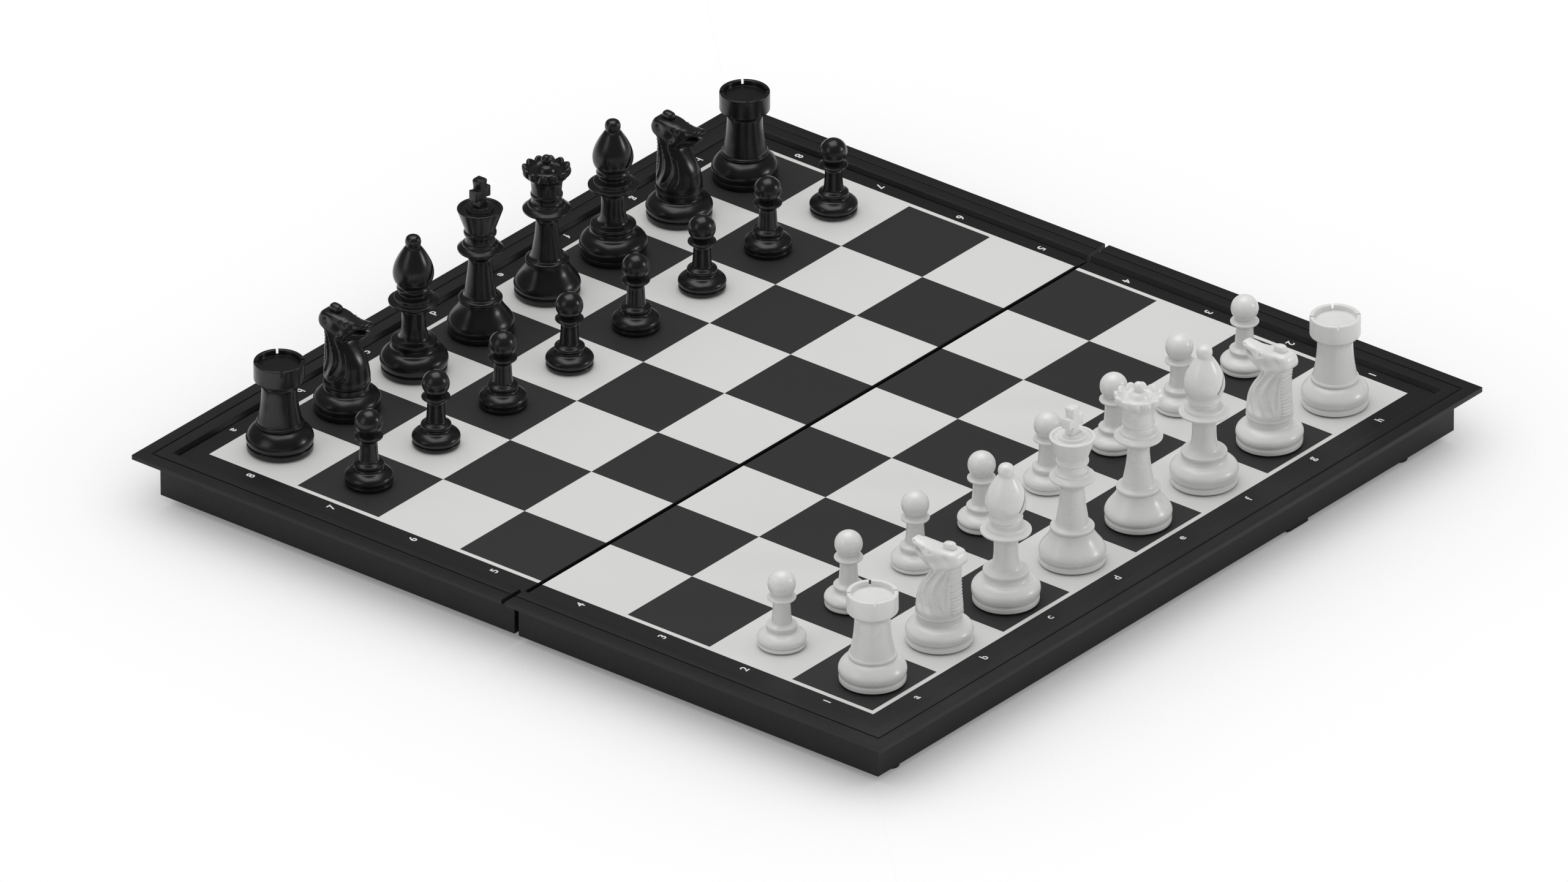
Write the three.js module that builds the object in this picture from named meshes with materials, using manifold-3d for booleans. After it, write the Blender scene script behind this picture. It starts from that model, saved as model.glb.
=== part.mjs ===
// Folding magnetic chess set, open for play, with all 32 pieces on their squares.
//
// Two shallow half-boxes are hinged along the line between ranks 4 and 5. Each carries a printed steel
// panel on top and is hollow underneath. The set folds with the panels outside, the hollows become one
// storage box, and two snap hooks hold it shut. A magnet in each base holds a piece to the steel.
//
// Millimetres, +Z up. The origin is on the table under the middle of the hinge line, +X runs along the
// ranks towards the h file, and +Y runs along the files towards rank 8.

import * as THREE from "three";
import { mergeVertices } from "three/addons/utils/BufferGeometryUtils.js";
import Module from "manifold-3d";

const wasm = await Module();
wasm.setup();

// ---- Driving dimensions ----

const SQUARE = 35;
const FOLD_GAP = 1.8; // between the two halves when open
const FIELD_HALF = 4 * SQUARE;
const FOLD_FACE = FOLD_GAP / 2;

const FOOT_DROP = 3.4; // how far the feet stand below the rim of a half
const RIM_Z = FOOT_DROP;
const SURFACE_Z = RIM_Z + 14; // the playing surface
const FRAME_RISE = 1.75; // the raised frame above the playing surface

const RECESS_MARGIN = 9; // field edge to the foot of the raised frame
const RECESS_SLOPE = 0.9;
const GROOVE_MARGIN = 14.2;
const GROOVE_WIDTH = 0.6;
const GROOVE_DEPTH = 0.4;
const WALL_MARGIN = 12.8; // field edge to the outer face of the wall
const FLANGE_MARGIN = 19.5; // field edge to the edge of the overhanging flange
const FLANGE_THICK = 1.8;
const WALL = 2.2;
const DECK = 1.4;

const PANEL_THICK = 0.8;
const TOUCH_GAP = 0.3; // left between two pieces that lie on each other
const FELT = 0.5; // pad under each chess piece

const HINGE_X = 105;
const HINGE_CLEAR = 0.15; // the hinge axis lies this far below the rims
const AXIS_Z = RIM_Z - HINGE_CLEAR;
const KNUCKLE_R = 3.1;
const KNUCKLE_LENGTH = 9;
const KNUCKLE_GAP = 0.4;
const PIN_R = 1;
const PIN_BORE_R = 1.2;

const FOOT_R = 3;
const FOOT_STEM_R = 1.6;
const FOOT_STEM_TOP = RIM_Z + 4.6;
const BOSS_R = 4.2;
const FOOT_INSET = 5.6; // wall's outer face to the foot's axis
const FOOT_X = { white: [-139.3, 130.2], black: [-130.2, 139.3] }; // staggered, to pass each other when shut

const HOOK_X = 71.75;
const HOOK_WIDTH = 10;
const HOOK_THICK = 1.6;
const HOOK_GAP = 0.5; // wall's inner face to the hook
const HOOK_PIVOT_Z = 12.3;
const HOOK_TIP_Z = 0.2;
const BARB_OUT = 0.9;
const BARB_Z = [0.7, 1.8];
const TRUNNION_R = 0.7;
const TRUNNION_BORE_R = 1;
const EAR_THICK = 1.6;

const OFFICER_SEGMENTS = 12;
const PAWN_SEGMENTS = 10;
const OFFICER_SHIFT = 3.5; // the back rows stand this far outside the middles of their squares
const MAGNET = { r: 4.3, thick: 3 };
const SOCKET = { officer: 4.6, pawn: 3.6, depth: 3.4 };
const MITRE_TURN = -22; // degrees from +X to the side that a bishop's slit opens on

// ---- Solids and meshes ----

function toSolid(geometry) {
  const bare = new THREE.BufferGeometry();
  const flat = geometry.index ? geometry.toNonIndexed() : geometry;
  bare.setAttribute("position", flat.getAttribute("position"));
  const merged = mergeVertices(bare, 1e-4);
  return new wasm.Manifold(
    new wasm.Mesh({
      numProp: 3,
      vertProperties: merged.attributes.position.array,
      triVerts: new Uint32Array(merged.index.array),
    }),
  );
}

function toGeometry(solid) {
  const mesh = solid.getMesh();
  const geometry = new THREE.BufferGeometry();
  geometry.setAttribute("position", new THREE.BufferAttribute(mesh.vertProperties, 3));
  geometry.setIndex(new THREE.BufferAttribute(mesh.triVerts, 1));
  return geometry;
}

function box([x0, x1], [y0, y1], [z0, z1]) {
  const geometry = new THREE.BoxGeometry(x1 - x0, y1 - y0, z1 - z0);
  geometry.translate((x0 + x1) / 2, (y0 + y1) / 2, (z0 + z1) / 2);
  return toSolid(geometry);
}

// A turned solid on the Z axis. The profile is [radius, height] pairs from the axis round to the axis.
function turned(profile, segments) {
  const points = profile.map(([r, z]) => new THREE.Vector2(r, z));
  return toSolid(new THREE.LatheGeometry(points, segments).rotateX(Math.PI / 2));
}

function rod(radius, [z0, z1], segments) {
  return turned([[0, z0], [radius, z0], [radius, z1], [0, z1]], segments);
}

function rodAlongX(radius, [x0, x1], y, z, segments) {
  return rod(radius, [x0, x1], segments).rotate([0, 90, 0]).translate([0, y, z]);
}

function extruded(outline, thickness) {
  const shape = new THREE.Shape(outline.map(([x, y]) => new THREE.Vector2(x, y)));
  const geometry = new THREE.ExtrudeGeometry(shape, { depth: thickness, bevelEnabled: false });
  geometry.translate(0, 0, -thickness / 2);
  return toSolid(geometry);
}

// A copy turned half a turn about Z: the black side of anything made for the white side.
function turnedRound(solid) {
  return solid.rotate([0, 0, 180]);
}

// ---- Materials ----

const plastic = (color, roughness) => new THREE.MeshStandardMaterial({ color, roughness, metalness: 0 });
const materials = {
  shell: plastic(0x2b2b2b, 0.55),
  panel: plastic(0x8a8a8a, 0.5),
  rubber: plastic(0x141414, 0.9),
  white: plastic(0xdcdcdc, 0.35),
  black: plastic(0x141414, 0.2),
  steel: new THREE.MeshStandardMaterial({ color: 0xa8a8a8, roughness: 0.3, metalness: 1 }),
};

const board = new THREE.Group();

function add(name, solid, material, position = [0, 0, 0]) {
  const mesh = new THREE.Mesh(toGeometry(solid), material);
  mesh.name = name;
  mesh.position.set(...position);
  board.add(mesh);
}

// ---- Half-boxes ----

const hookY = FIELD_HALF + FOLD_FACE + WALL_MARGIN - WALL - HOOK_GAP; // the hook's outer face
const footY = FIELD_HALF + FOLD_FACE + WALL_MARGIN - FOOT_INSET;

// The span from the field's edge plus a margin to the fold, on the white side.
function depthSpan(margin) {
  return [-(FIELD_HALF + FOLD_FACE + margin), -FOLD_FACE];
}

function widthSpan(margin) {
  return [-(FIELD_HALF + margin), FIELD_HALF + margin];
}

// The recess that holds the panel, with the sloped foot of the raised frame on three sides.
function recess(bottomZ) {
  const low = RECESS_MARGIN;
  const high = RECESS_MARGIN + RECESS_SLOPE;
  const top = SURFACE_Z + FRAME_RISE;
  const past = 1; // runs out past the fold and the top
  const slope = high + (RECESS_SLOPE * past) / FRAME_RISE;
  const corner = (margin, z) => [
    [-(FIELD_HALF + margin), -(FIELD_HALF + FOLD_FACE + margin), z],
    [FIELD_HALF + margin, -(FIELD_HALF + FOLD_FACE + margin), z],
    [FIELD_HALF + margin, past, z],
    [-(FIELD_HALF + margin), past, z],
  ];
  const rings = [corner(low, SURFACE_Z - 0.01), corner(slope, top + past)];
  const vertices = new Float32Array(rings.flat(2));
  const faces = [0, 2, 1, 0, 3, 2, 4, 5, 6, 4, 6, 7];
  for (let i = 0; i < 4; i++) {
    const next = (i + 1) % 4;
    faces.push(i, next, next + 4, i, next + 4, i + 4);
  }
  const sloped = new wasm.Manifold(
    new wasm.Mesh({ numProp: 3, vertProperties: vertices, triVerts: new Uint32Array(faces) }),
  );
  const floor = box(widthSpan(low), [depthSpan(low)[0], past], [bottomZ, SURFACE_Z]);
  return sloped.add(floor);
}

// A thin groove round the three outer sides of the flange's top.
function groove() {
  const zs = [SURFACE_Z + FRAME_RISE - GROOVE_DEPTH, SURFACE_Z + FRAME_RISE + 1];
  const outer = box(widthSpan(GROOVE_MARGIN + GROOVE_WIDTH), [depthSpan(GROOVE_MARGIN + GROOVE_WIDTH)[0], 1], zs);
  return outer.subtract(box(widthSpan(GROOVE_MARGIN), [depthSpan(GROOVE_MARGIN)[0], 2], [zs[0] - 1, zs[1] + 1]));
}

// X spans of the three knuckles of the hinge whose middle is at x. The white side has the outer two.
function knuckleSpans(x) {
  const step = KNUCKLE_LENGTH + KNUCKLE_GAP;
  const at = (k) => [x + k * step - KNUCKLE_LENGTH / 2, x + k * step + KNUCKLE_LENGTH / 2];
  return { white: [at(-1), at(1)], black: [at(0)] };
}

function withKnuckles(solid, side) {
  const other = side === "white" ? "black" : "white";
  const segments = 16;
  for (const x of [-HINGE_X, HINGE_X]) {
    const spans = knuckleSpans(x);
    for (const [x0, x1] of spans[other]) {
      const clear = [x0 - KNUCKLE_GAP, x1 + KNUCKLE_GAP];
      solid = solid.subtract(rodAlongX(KNUCKLE_R + KNUCKLE_GAP, clear, 0, AXIS_Z, segments));
    }
    for (const span of spans[side]) solid = solid.add(rodAlongX(KNUCKLE_R, span, 0, AXIS_Z, segments));
    const ends = [x - 2 * KNUCKLE_LENGTH, x + 2 * KNUCKLE_LENGTH];
    solid = solid.subtract(rodAlongX(PIN_BORE_R, ends, 0, AXIS_Z, 12));
  }
  return solid;
}

// Two ears under the deck that hold the hook's trunnions.
function hookEars() {
  const inner = HOOK_WIDTH / 2 + TOUCH_GAP;
  const ys = [-hookY - HOOK_GAP - 0.1, -hookY + 4];
  const zs = [HOOK_PIVOT_Z - 2, RIM_Z + 12];
  const left = box([HOOK_X - inner - EAR_THICK, HOOK_X - inner], ys, zs);
  const right = box([HOOK_X + inner, HOOK_X + inner + EAR_THICK], ys, zs);
  const reach = inner + EAR_THICK - 0.3;
  const pivotY = -hookY + HOOK_THICK / 2;
  const bore = rodAlongX(TRUNNION_BORE_R, [HOOK_X - reach, HOOK_X + reach], pivotY, HOOK_PIVOT_Z, 10);
  return left.add(right).subtract(bore);
}

// One half-box, made as the white side. The other side's hook catches in the blind slot at -HOOK_X.
function halfBox(side) {
  const deckTop = SURFACE_Z - PANEL_THICK - TOUCH_GAP;
  const cavityTop = deckTop - DECK;
  const flangeZ = SURFACE_Z + FRAME_RISE - FLANGE_THICK;
  let solid = box(widthSpan(WALL_MARGIN), depthSpan(WALL_MARGIN), [RIM_Z, flangeZ + 0.5]);
  solid = solid.add(box(widthSpan(FLANGE_MARGIN), depthSpan(FLANGE_MARGIN), [flangeZ, SURFACE_Z + FRAME_RISE]));
  solid = solid.subtract(recess(deckTop));
  solid = solid.subtract(groove());
  const cavity = box(
    widthSpan(WALL_MARGIN - WALL),
    [depthSpan(WALL_MARGIN - WALL)[0], -FOLD_FACE - WALL],
    [RIM_Z - 1, cavityTop],
  );
  solid = solid.subtract(cavity);
  for (const x of FOOT_X[side].map((at) => (side === "white" ? at : -at))) {
    solid = solid.add(rod(BOSS_R, [RIM_Z, cavityTop + 0.5], 12).translate([x, -footY, 0]));
    solid = solid.subtract(rod(FOOT_STEM_R + 0.3, [RIM_Z - 1, FOOT_STEM_TOP + 0.4], 10).translate([x, -footY, 0]));
  }
  solid = solid.add(hookEars());
  const innerWall = FIELD_HALF + FOLD_FACE + WALL_MARGIN - WALL;
  const catchZ = BARB_Z.map((z) => 2 * AXIS_Z - z).reverse();
  const catchX = [-HOOK_X - HOOK_WIDTH / 2 - 0.6, -HOOK_X + HOOK_WIDTH / 2 + 0.6];
  const catchY = [-innerWall - (BARB_OUT - HOOK_GAP) - 0.3, -innerWall + 0.5];
  solid = solid.subtract(box(catchX, catchY, [catchZ[0] - 0.3, catchZ[1] + 0.3]));
  if (side === "black") solid = turnedRound(solid);
  return withKnuckles(solid, side);
}

function panel() {
  const slack = TOUCH_GAP;
  const ys = [depthSpan(RECESS_MARGIN)[0] + slack, -FOLD_FACE];
  const xs = widthSpan(RECESS_MARGIN - slack);
  return box(xs, ys, [SURFACE_Z - PANEL_THICK, SURFACE_Z]);
}

function foot() {
  const stemTop = FOOT_STEM_TOP;
  const top = RIM_Z - TOUCH_GAP;
  const profile = [[0, 0], [FOOT_R - 0.4, 0], [FOOT_R, 0.4], [FOOT_R, top], [FOOT_STEM_R, top]];
  return turned([...profile, [FOOT_STEM_R, stemTop], [0, stemTop]], 12);
}

// The snap hook hangs from its trunnions just inside the wall. Its barb points outwards.
function hook() {
  const y = -hookY;
  const xs = [HOOK_X - HOOK_WIDTH / 2, HOOK_X + HOOK_WIDTH / 2];
  const pivotY = y + HOOK_THICK / 2;
  let solid = box(xs, [y, y + HOOK_THICK], [HOOK_TIP_Z, HOOK_PIVOT_Z]);
  solid = solid.add(box(xs, [y - BARB_OUT, y + HOOK_THICK], BARB_Z));
  solid = solid.add(rodAlongX(HOOK_THICK / 2, xs, pivotY, HOOK_PIVOT_Z, 12));
  const reach = HOOK_WIDTH / 2 + TOUCH_GAP + 1;
  return solid.add(rodAlongX(TRUNNION_R, [HOOK_X - reach, HOOK_X + reach], pivotY, HOOK_PIVOT_Z, 8));
}

for (const side of ["white", "black"]) {
  const place = side === "white" ? (s) => s : turnedRound;
  add(`shell_${side}_side`, halfBox(side), materials.shell);
  add(`play_panel_${side}_side`, place(panel()), materials.panel);
  add(`latch_hook_${side}_side`, place(hook()), materials.shell);
  ["left", "right"].forEach((label, i) => {
    const y = side === "white" ? -footY : footY;
    add(`foot_${side}_${label}`, foot(), materials.rubber, [FOOT_X[side][i], y, 0]);
  });
}

const pinReach = 1.5 * KNUCKLE_LENGTH + KNUCKLE_GAP;
for (const [label, x] of [["left", -HINGE_X], ["right", HINGE_X]]) {
  add(`hinge_pin_${label}`, rodAlongX(PIN_R, [x - pinReach, x + pinReach], 0, AXIS_Z, 10), materials.steel);
}

// ---- Chess pieces ----
// Heights are above the underside of the piece. The horse faces +Y.

const under = (r) => [[0, SOCKET.depth], [r, SOCKET.depth], [r, 0]];
const tallFoot = [
  ...under(SOCKET.officer), [11, 0], [11.35, 3.7], [10.9, 5.5], [9.2, 7.7], [7.9, 9.5], [6.9, 11.8], [7.4, 13.1],
];
const lowFoot = [...under(SOCKET.officer), [11, 0], [11.3, 3.9], [10.2, 6.8], [7.6, 8.9]];

function pawn() {
  const profile = [...under(SOCKET.pawn), [7.8, 0], [8.05, 2], [7, 4.7], [4.8, 6.4], [5.1, 8.4], [3.1, 11]];
  const top = [[2.95, 15.6], [4.8, 18.4], [2.8, 19.6], [4.6, 23], [2.9, 27], [0, 27.9]];
  return turned([...profile, ...top], PAWN_SEGMENTS);
}

function rook() {
  const body = [[7.9, 9.2], [6.5, 17.8], [5.9, 23.5], [6.2, 25.6], [8.3, 27.3], [8.5, 32.8]];
  const cup = [[7.3, 32.8], [7.3, 30.4], [0, 30.4]];
  let solid = turned([...lowFoot, ...body, ...cup], OFFICER_SEGMENTS);
  for (const angle of [45, 135]) {
    solid = solid.subtract(box([-9, 9], [-0.5, 0.5], [30.8, 34]).rotate([0, 0, angle]));
  }
  return solid;
}

// Side outline of the horse: [forward, height] from the chest round over the head and down the mane.
const HORSE = [
  [7.9, 12], [7.7, 15], [7.2, 17.9], [5.8, 21], [3.8, 23.9], [2.4, 26], [6.4, 28.3], [9.6, 31], [10.5, 34],
  [10.2, 35.4], [2, 35.9], [-2.6, 37.4], [-4.4, 38.7], [-6.8, 38.3], [-7.6, 36.6], [-9.2, 35.2], [-9.6, 32.4],
  [-7.8, 28.7], [-7.4, 25.5], [-7.7, 18.7], [-7.9, 12],
];

function knight() {
  const collar = [[7.3, 10.2], [8.1, 11.4], [7.9, 12.6], [0, 12.6]];
  const base = turned([...lowFoot, ...collar], OFFICER_SEGMENTS);
  return base.add(extruded(HORSE, 9).rotate([90, 0, 90]));
}

function bishop() {
  const body = [[7.6, 12], [5, 12.9], [4.1, 16.5], [4.1, 23], [8.5, 26.2], [6.6, 28.2], [4.6, 29.3]];
  const head = [[5.7, 31.3], [6.9, 37.2], [5.5, 42], [2.4, 46.6], [2.7, 48.8], [1.8, 50.3], [0, 50.8]];
  const solid = turned([...lowFoot, ...body, ...head], OFFICER_SEGMENTS);
  const slit = box([0, 9], [-8, 8], [-0.4, 0.4]).rotate([0, -55, 0]).translate([1.4, 0, 34.9]);
  return solid.subtract(slit.rotate([0, 0, MITRE_TURN]));
}

function queen() {
  const body = [[5, 14.2], [4.1, 21], [3.7, 27.5], [8.2, 31.8], [5.9, 34.4], [5.3, 37.4], [5.2, 40.3]];
  const crown = [[5.8, 43.2], [8, 47.2], [7.2, 48.6], [5, 46.4], [2.6, 49], [1.5, 51.6], [0, 52.6]];
  let solid = turned([...tallFoot, ...body, ...crown], OFFICER_SEGMENTS);
  for (const angle of [0, 45, 90, 135]) {
    solid = solid.subtract(box([5.4, 10], [-1.1, 1.1], [47.3, 50]).rotate([0, 0, angle]));
    solid = solid.subtract(box([-10, -5.4], [-1.1, 1.1], [47.3, 50]).rotate([0, 0, angle]));
  }
  return solid;
}

function king() {
  const body = [[5, 14.4], [4.4, 21], [3.95, 27.6], [7.7, 31.6], [5, 34.9], [5.6, 37.6], [5.2, 39.2]];
  const crown = [[7.7, 46.4], [4.8, 46.9], [3.4, 47.8], [0, 47.8]];
  const right = [[2.2, 47.6], [1.7, 50.7], [4, 50.4], [4, 55.1], [1.9, 54.6], [2.4, 58.6]];
  const left = right.map(([x, z]) => [-x, z]).reverse();
  const cross = extruded([...right, ...left], 4.2).rotate([90, 0, 0]);
  return turned([...tallFoot, ...body, ...crown], OFFICER_SEGMENTS).add(cross);
}

const officers = { rook: rook(), knight: knight(), bishop: bishop(), king: king(), queen: queen() };
const pawnSolid = pawn();
const magnet = rod(MAGNET.r, [0.1, 0.1 + MAGNET.thick], 10);
const files = ["a", "b", "c", "d", "e", "f", "g", "h"];
const backRow = ["rook", "knight", "bishop", "king", "queen", "bishop", "knight", "rook"];
const pairNames = { rook: true, knight: true, bishop: true };

for (const side of ["white", "black"]) {
  const sign = side === "white" ? -1 : 1;
  const standZ = SURFACE_Z + FELT;
  files.forEach((file, i) => {
    const x = (i - 3.5) * SQUARE;
    const kind = backRow[i];
    const name = pairNames[kind] ? `${side}_${kind}_${file}` : `${side}_${kind}`;
    const backY = sign * (FOLD_FACE + 3.5 * SQUARE + OFFICER_SHIFT);
    const pawnY = sign * (FOLD_FACE + 2.5 * SQUARE);
    const facesBack = side === "black" && kind === "knight";
    const solid = facesBack ? turnedRound(officers[kind]) : officers[kind];
    add(name, solid, materials[side], [x, backY, standZ]);
    add(`magnet_${name}`, magnet, materials.steel, [x, backY, standZ]);
    add(`${side}_pawn_${file}`, pawnSolid, materials[side], [x, pawnY, standZ]);
  });
}

export default board;
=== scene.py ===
import math

import bmesh
import bpy
import numpy as np
from mathutils import Matrix, Vector


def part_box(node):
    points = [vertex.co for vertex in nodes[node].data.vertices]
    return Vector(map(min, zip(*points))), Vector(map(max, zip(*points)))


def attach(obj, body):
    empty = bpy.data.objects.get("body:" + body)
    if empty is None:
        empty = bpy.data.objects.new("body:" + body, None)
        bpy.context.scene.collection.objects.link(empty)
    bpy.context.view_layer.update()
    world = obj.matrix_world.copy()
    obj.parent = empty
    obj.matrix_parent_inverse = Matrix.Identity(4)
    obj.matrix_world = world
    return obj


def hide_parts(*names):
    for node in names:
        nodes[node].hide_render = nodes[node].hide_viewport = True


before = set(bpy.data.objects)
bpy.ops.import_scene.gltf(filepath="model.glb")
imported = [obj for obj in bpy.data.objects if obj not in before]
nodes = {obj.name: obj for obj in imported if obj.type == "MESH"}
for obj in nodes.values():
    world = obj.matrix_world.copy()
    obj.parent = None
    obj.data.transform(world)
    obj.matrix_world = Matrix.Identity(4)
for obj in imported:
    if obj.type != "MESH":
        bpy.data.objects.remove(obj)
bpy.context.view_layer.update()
scene = bpy.context.scene
mm = 0.001

# Everything is laid out in millimetres and scaled once, when an object is made.
board = {
    "square": 35.0,
    "foldFace": 0.9,        # each half starts this far from the fold's middle
    "surface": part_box("play_panel_white_side")[1].z / mm,
    "panelThick": 0.8,
    "recessMargin": 8.7,    # panel's edge outside the squares
    "borderLine": 1.75,
    "sheetSlide": 1.3,      # the printed sheets are cut this far off centre, towards the h file
    "sheetNear": {"white": 1.0, "black": 0.0},
    "labelSize": 4.3,
    "labelWeight": 0.07,
    "numberOut": {"a": 3.2, "h": 5.9},                 # squares' edge to the middle of a rank number
    "numberDrop": 1.0,
    "letterOut": {"white": 4.9, "black": 6.3},         # squares' edge to the middle of a file letter
    "printThick": 0.03,
    "printGap": 0.005,
}

print("frame loaded:", len(nodes), "nodes")


# Mesh helpers, in millimetres.
plainSharpAngle = 38      # degrees; faces that meet at more than this keep a crisp edge


def roundProfile(corners, steps=5):
    # Corners are (radius, height) or (radius, height, fillet). A fillet eats at most half of each side.
    out = []
    last = len(corners) - 1
    for i, corner in enumerate(corners):
        here = Vector(corner[:2])
        fillet = corner[2] if len(corner) > 2 else 0
        if i in (0, last) or fillet == 0:
            out.append(here)
            continue
        back = Vector(corners[i - 1][:2]) - here
        ahead = Vector(corners[i + 1][:2]) - here
        start = here + back.normalized() * min(fillet, back.length * 0.5)
        end = here + ahead.normalized() * min(fillet, ahead.length * 0.5)
        for k in range(steps + 1):
            t = k / steps
            out.append(start * (1 - t) ** 2 + here * (2 * t * (1 - t)) + end * t * t)
    kept = [out[0]]
    for p in out[1:]:
        if (p - kept[-1]).length > 0.02:
            kept.append(p)
    return [(max(p.x, 0.0), p.y) for p in kept]


def ballArc(centre, radius, startAngle, steps=22):
    # From an angle above the south pole, over the ball, to the top of the axis.
    angles = np.linspace(math.radians(startAngle), math.pi, steps)
    return [(max(radius * math.sin(a), 0.0), centre - radius * math.cos(a)) for a in angles]


def turn(bm, profile, segments, shape=None, materialIndex=0):
    # Turns a profile about Z. shape(angle, r, z) may give a new (r, z) for crowns and teeth.
    rings = []
    for r, z in profile:
        if r < 1e-6:
            rings.append([bm.verts.new((0, 0, z))])
            continue
        ring = []
        for k in range(segments):
            a = 2 * math.pi * k / segments
            rr, zz = shape(a, r, z) if shape else (r, z)
            ring.append(bm.verts.new((rr * math.cos(a), rr * math.sin(a), zz)))
        rings.append(ring)
    for low, high in zip(rings, rings[1:]):
        for k in range(segments):
            n = (k + 1) % segments
            if len(low) == 1 and len(high) == 1:
                continue
            if len(low) == 1:
                face = bm.faces.new((low[0], high[n], high[k]))
            elif len(high) == 1:
                face = bm.faces.new((low[k], low[n], high[0]))
            else:
                face = bm.faces.new((low[k], low[n], high[n], high[k]))
            face.material_index = materialIndex


def toMesh(bm, name, sharpAngle=plainSharpAngle):
    bmesh.ops.recalc_face_normals(bm, faces=bm.faces)
    mesh = bpy.data.meshes.new(name)
    bm.to_mesh(mesh)
    bm.free()
    mesh.shade_smooth()
    mesh.set_sharp_from_angle(angle=math.radians(sharpAngle))
    return mesh


def addObject(name, mesh, materials, place=None):
    for material in materials:
        mesh.materials.append(material)
    obj = bpy.data.objects.new(name, mesh)
    scene.collection.objects.link(obj)
    if place is not None:
        obj.matrix_world = place
    return obj


def scaledCopy(mesh, name):
    copy = mesh.copy()
    copy.name = name
    copy.transform(Matrix.Scale(mm, 4))
    return copy


def cutWith(mesh, cutters, name):
    # Boolean cuts with a list of bmesh-made cutter meshes.
    body = bpy.data.objects.new(name + "Body", mesh)
    scene.collection.objects.link(body)
    tools = []
    for i, cutter in enumerate(cutters):
        tool = bpy.data.objects.new(f"{name}Cutter{i}", cutter)
        scene.collection.objects.link(tool)
        modifier = body.modifiers.new("cut", "BOOLEAN")
        modifier.operation = "DIFFERENCE"
        modifier.solver = "EXACT"
        modifier.object = tool
        tools.append(tool)
    depsgraph = bpy.context.evaluated_depsgraph_get()
    result = bpy.data.meshes.new_from_object(body.evaluated_get(depsgraph))
    for obj in [body, *tools]:
        bpy.data.objects.remove(obj)
    result.name = name
    result.shade_smooth()
    result.set_sharp_from_angle(angle=math.radians(plainSharpAngle))
    return result


def slabMesh(size, matrix):
    bm = bmesh.new()
    bmesh.ops.create_cube(bm, size=1, matrix=matrix @ Matrix.Diagonal((*size, 1)))
    mesh = bpy.data.meshes.new("cutter")
    bm.to_mesh(mesh)
    bm.free()
    return mesh


# Shader groups.
def newGroup(name, inputs, outputs):
    group = bpy.data.node_groups.new(name, "ShaderNodeTree")
    for label, kind, value in inputs:
        socket = group.interface.new_socket(label, in_out="INPUT", socket_type=kind)
        socket.default_value = value
    for label, kind in outputs:
        group.interface.new_socket(label, in_out="OUTPUT", socket_type=kind)
    return group, group.nodes.new("NodeGroupInput"), group.nodes.new("NodeGroupOutput")


def mathNode(tree, operation, a, b):
    node = tree.nodes.new("ShaderNodeMath")
    node.operation = operation
    for socket, value in zip(node.inputs, (a, b)):
        if isinstance(value, (int, float)):
            socket.default_value = value
        else:
            tree.links.new(value, socket)
    return node.outputs[0]


def noiseNode(tree, vector, scale, detail=2.0, roughness=0.5):
    node = tree.nodes.new("ShaderNodeTexNoise")
    node.inputs["Detail"].default_value = detail
    node.inputs["Roughness"].default_value = roughness
    tree.links.new(vector, node.inputs["Vector"])
    if isinstance(scale, (int, float)):
        node.inputs["Scale"].default_value = scale
    else:
        tree.links.new(scale, node.inputs["Scale"])
    return node.outputs["Fac"]


mould = {
    "bumpReach": 0.0001,                # metres
    "driftNoise": (90, 4.0, 0.6),       # scale, detail, roughness of the handling marks
    "speckScale": 900,
    "speckLevel": 0.74,
}


def makeMouldedSkin():
    # Fine mould grain, slow sink waviness, and roughness that drifts with handling.
    number = "NodeSocketFloat"
    group, start, end = newGroup(
        "mouldedSkin",
        [("Grain Scale", number, 2500), ("Grain Height", number, 0.2), ("Wave Scale", number, 60),
         ("Wave Height", number, 0.5), ("Roughness", number, 0.4), ("Roughness Drift", number, 0.08)],
        [("Normal", "NodeSocketVector"), ("Roughness", number)],
    )
    coords = group.nodes.new("ShaderNodeTexCoord").outputs["Object"]
    grain = noiseNode(group, coords, start.outputs["Grain Scale"], 3.0, 0.6)
    wave = noiseNode(group, coords, start.outputs["Wave Scale"], 1.0)
    grainHeight = mathNode(group, "MULTIPLY", grain, start.outputs["Grain Height"])
    waveHeight = mathNode(group, "MULTIPLY", wave, start.outputs["Wave Height"])
    bump = group.nodes.new("ShaderNodeBump")
    bump.inputs["Strength"].default_value = 1.0
    bump.inputs["Distance"].default_value = mould["bumpReach"]
    group.links.new(mathNode(group, "ADD", grainHeight, waveHeight), bump.inputs["Height"])
    drift = mathNode(group, "SUBTRACT", noiseNode(group, coords, *mould["driftNoise"]), 0.5)
    drift = mathNode(group, "MULTIPLY", drift, start.outputs["Roughness Drift"])
    group.links.new(bump.outputs["Normal"], end.inputs["Normal"])
    group.links.new(mathNode(group, "ADD", start.outputs["Roughness"], drift), end.inputs["Roughness"])
    return group


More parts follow.
